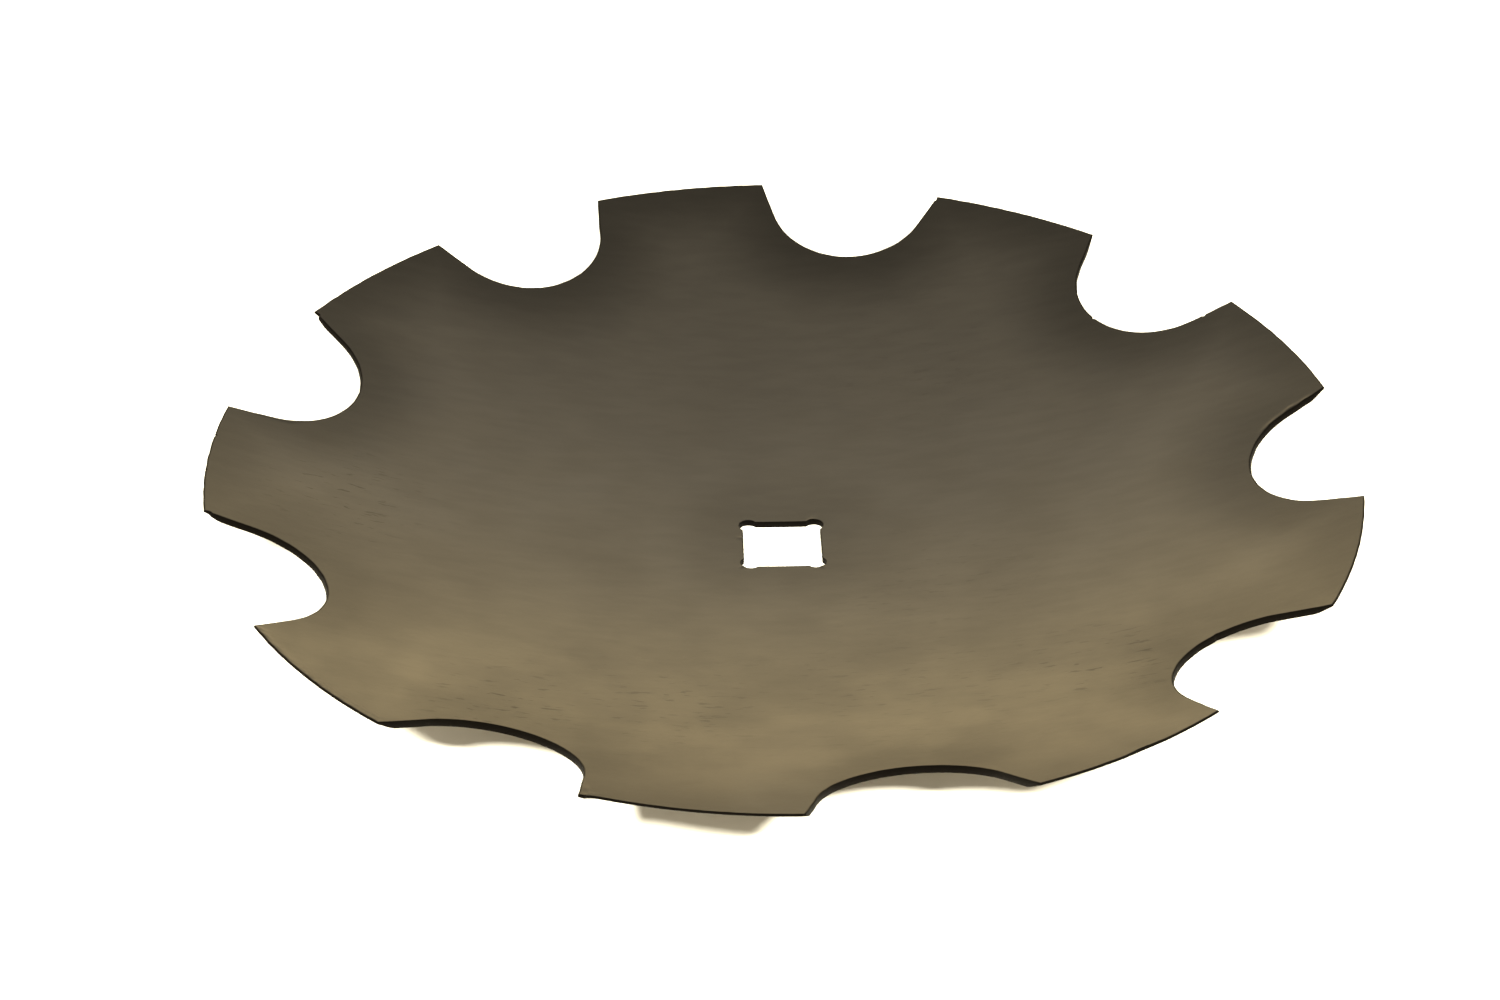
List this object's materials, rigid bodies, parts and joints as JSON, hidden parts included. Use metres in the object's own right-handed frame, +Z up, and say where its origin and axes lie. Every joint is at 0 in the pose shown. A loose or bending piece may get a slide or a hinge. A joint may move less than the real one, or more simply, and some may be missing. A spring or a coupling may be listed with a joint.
{
  "type": "harrow disc blade",
  "caption": "Concave harrow disc blade with a notched, sharpened rim and a square axle hole, made from one piece of dished steel sheet.",
  "frame": {"origin": "on the blade's axis, in the middle of the square axle hole, at the level of the surface that the blade rests on", "axes": "+Z up along the blade's axis, from the bulged underside to the hollow side; +X through the middle of one notch and square to two flats of the axle hole; the blade is its own mirror image across the XZ plane"},
  "size_m": [0.4038, 0.407, 0.0436],
  "materials": {
    "blade_finish": "satin"
  },
  "bodies": {
    "root": {"disc_blade": "blade_finish"}
  },
  "joints": []
}
